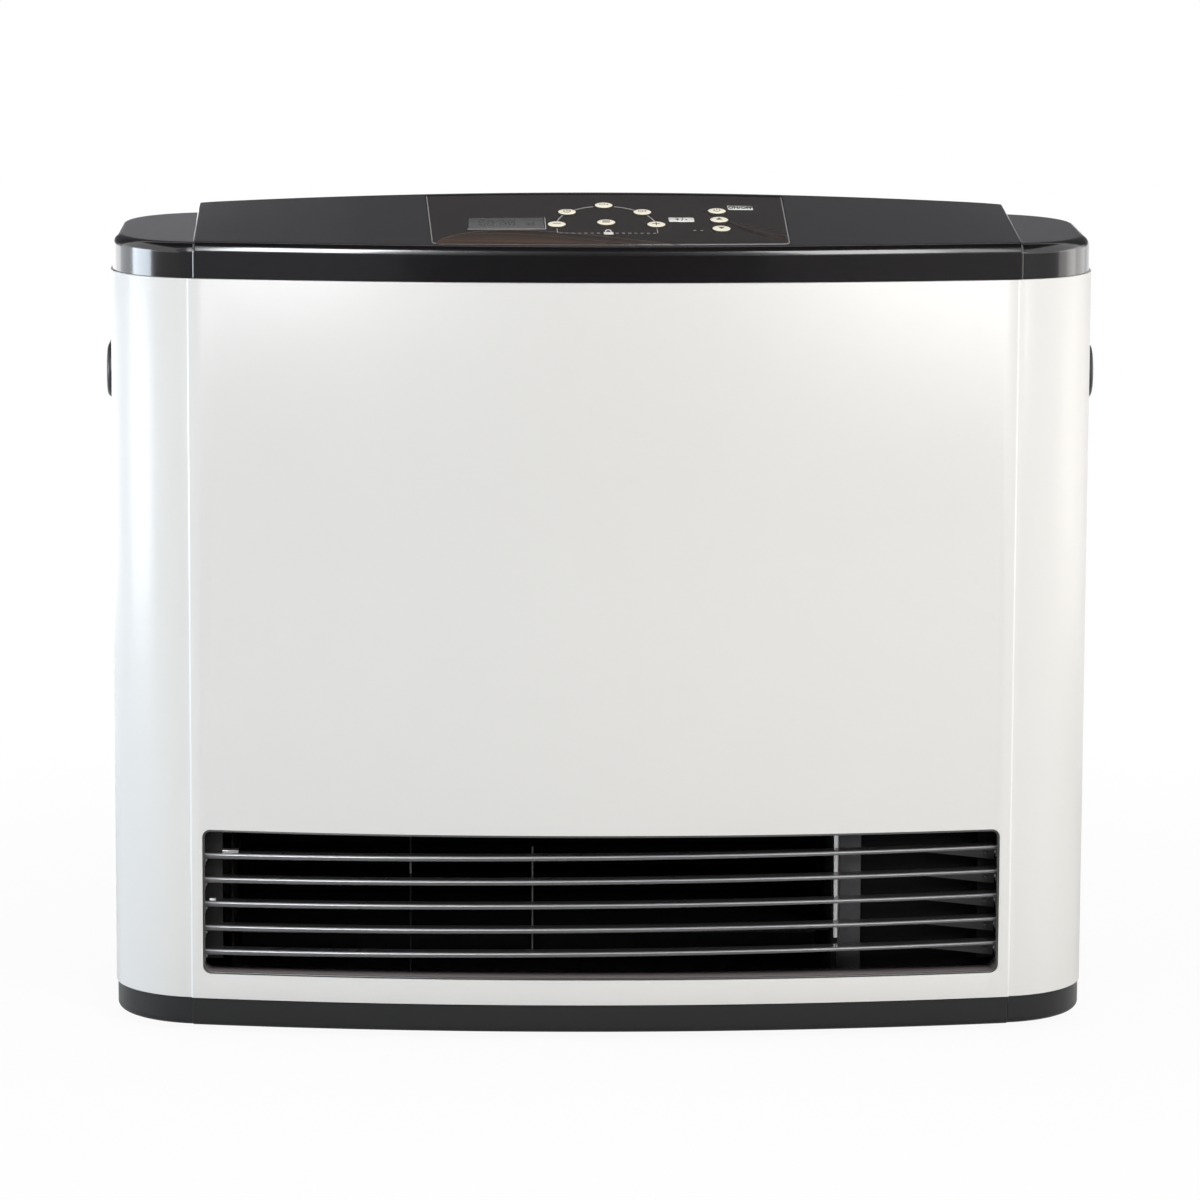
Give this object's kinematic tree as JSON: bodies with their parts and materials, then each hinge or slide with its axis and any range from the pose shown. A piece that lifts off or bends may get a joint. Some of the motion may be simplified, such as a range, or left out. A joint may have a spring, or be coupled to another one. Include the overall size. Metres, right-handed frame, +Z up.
{
  "type": "flueless gas heater",
  "caption": "Floor-standing fan-forced gas heater with a bowed front, low louvred outlet and sloping top controls.",
  "frame": {"origin": "on the floor, under the middle of the heater's overall box", "axes": "+X to the right seen from the front, +Y from the front to the wall, +Z up"},
  "size_m": [0.6674, 0.25, 0.5495],
  "materials": {
    "white_paint": "gloss",
    "grey_paint": "satin",
    "charcoal_gloss": "gloss",
    "charcoal_satin": "satin",
    "fascia_black": "high gloss",
    "key_cream": "satin",
    "window_grey": "gloss",
    "lamp_clear": "gloss",
    "black_paint": "satin",
    "black_plastic": "satin",
    "zinc": "satin",
    "steel": "polished",
    "aluminium": "satin",
    "aluminised": "matte",
    "brass": "satin",
    "ceramic": "glazed",
    "board_green": "satin",
    "iron": "lacquered",
    "mesh_grey": "matte"
  },
  "bodies": {
    "casing": {"front_panel": "white_paint", "rear_panel": "grey_paint", "filter_rails": "grey_paint", "top_cap": "charcoal_gloss", "base_plinth": "charcoal_satin", "control_fascia": "fascia_black", "display_window": "window_grey", "indicator_light_left": "lamp_clear", "indicator_light_right": "lamp_clear", "louvre_frame": "black_paint", "control_baffle": "black_paint", "louvre_blade_1": "black_paint", "louvre_blade_2": "black_paint", "louvre_blade_3": "black_paint", "louvre_blade_4": "black_paint", "louvre_blade_5": "black_paint", "handle_left": "black_plastic", "handle_right": "black_plastic", "wall_spacer_left": "black_plastic", "wall_spacer_right": "black_plastic", "cord_gland": "black_plastic", "room_thermistor": "black_plastic", "louvre_bracket_left": "zinc", "louvre_bracket_right": "zinc", "fan_scroll": "zinc", "fan_tongue": "zinc", "left_wall": "zinc", "fan_side_plate": "zinc", "divider_wall": "zinc", "chassis_tray": "zinc", "gas_valve": "aluminium", "plenum_shroud": "aluminised", "heat_shield": "aluminised", "combustion_chamber": "aluminised", "burner": "aluminised", "gas_manifold": "brass", "gas_inlet_pipe": "brass", "gas_inlet_union": "brass", "fan_bush": "brass", "flame_probes": "ceramic", "overheat_switch": "ceramic", "control_board": "board_green", "display_board": "board_green", "fan_motor": "iron", "transformer": "iron"},
    "fan_rotor": {"fan_rotor": "aluminium", "fan_shaft": "steel"},
    "filter_left": {"filter_frame_left": "charcoal_satin", "filter_mesh_left": "mesh_grey"},
    "filter_right": {"filter_frame_right": "charcoal_satin", "filter_mesh_right": "mesh_grey"},
    "key_plus": {"key_plus": "key_cream"},
    "key_set_off": {"key_set_off": "key_cream"},
    "key_set_on": {"key_set_on": "key_cream"},
    "key_clock": {"key_clock": "key_cream"},
    "key_minus": {"key_minus": "key_cream"},
    "key_mode": {"key_mode": "key_cream"},
    "key_power": {"key_power": "key_cream"},
    "key_up": {"key_up": "key_cream"},
    "key_down": {"key_down": "key_cream"}
  },
  "joints": [
    {"name": "fan_spin", "type": "hinge", "parent": "casing", "child": "fan_rotor", "pos_m": [0, 0.0265, 0.104], "axis": [1, 0, 0], "continuous": true},
    {"name": "filter_left_lift", "type": "slide", "parent": "casing", "child": "filter_left", "axis": [0, 0, 1], "range_m": [0, 0.24]},
    {"name": "filter_right_lift", "type": "slide", "parent": "casing", "child": "filter_right", "axis": [0, 0, 1], "range_m": [0, 0.24]},
    {"name": "key_plus_press", "type": "slide", "parent": "casing", "child": "key_plus", "axis": [0, 0.06, -0.9982], "range_m": [0, 0.0006], "stiffness_N_per_m": 2000},
    {"name": "key_set_off_press", "type": "slide", "parent": "casing", "child": "key_set_off", "axis": [0, 0.06, -0.9982], "range_m": [0, 0.0006], "stiffness_N_per_m": 2000},
    {"name": "key_set_on_press", "type": "slide", "parent": "casing", "child": "key_set_on", "axis": [0, 0.06, -0.9982], "range_m": [0, 0.0006], "stiffness_N_per_m": 2000},
    {"name": "key_clock_press", "type": "slide", "parent": "casing", "child": "key_clock", "axis": [0, 0.06, -0.9982], "range_m": [0, 0.0006], "stiffness_N_per_m": 2000},
    {"name": "key_minus_press", "type": "slide", "parent": "casing", "child": "key_minus", "axis": [0, 0.06, -0.9982], "range_m": [0, 0.0006], "stiffness_N_per_m": 2000},
    {"name": "key_mode_press", "type": "slide", "parent": "casing", "child": "key_mode", "axis": [0, 0.06, -0.9982], "range_m": [0, 0.0006], "stiffness_N_per_m": 2000},
    {"name": "key_power_press", "type": "slide", "parent": "casing", "child": "key_power", "axis": [0, 0.06, -0.9982], "range_m": [0, 0.0006], "stiffness_N_per_m": 2000},
    {"name": "key_up_press", "type": "slide", "parent": "casing", "child": "key_up", "axis": [0, 0.06, -0.9982], "range_m": [0, 0.0006], "stiffness_N_per_m": 2000},
    {"name": "key_down_press", "type": "slide", "parent": "casing", "child": "key_down", "axis": [0, 0.06, -0.9982], "range_m": [0, 0.0006], "stiffness_N_per_m": 2000}
  ]
}
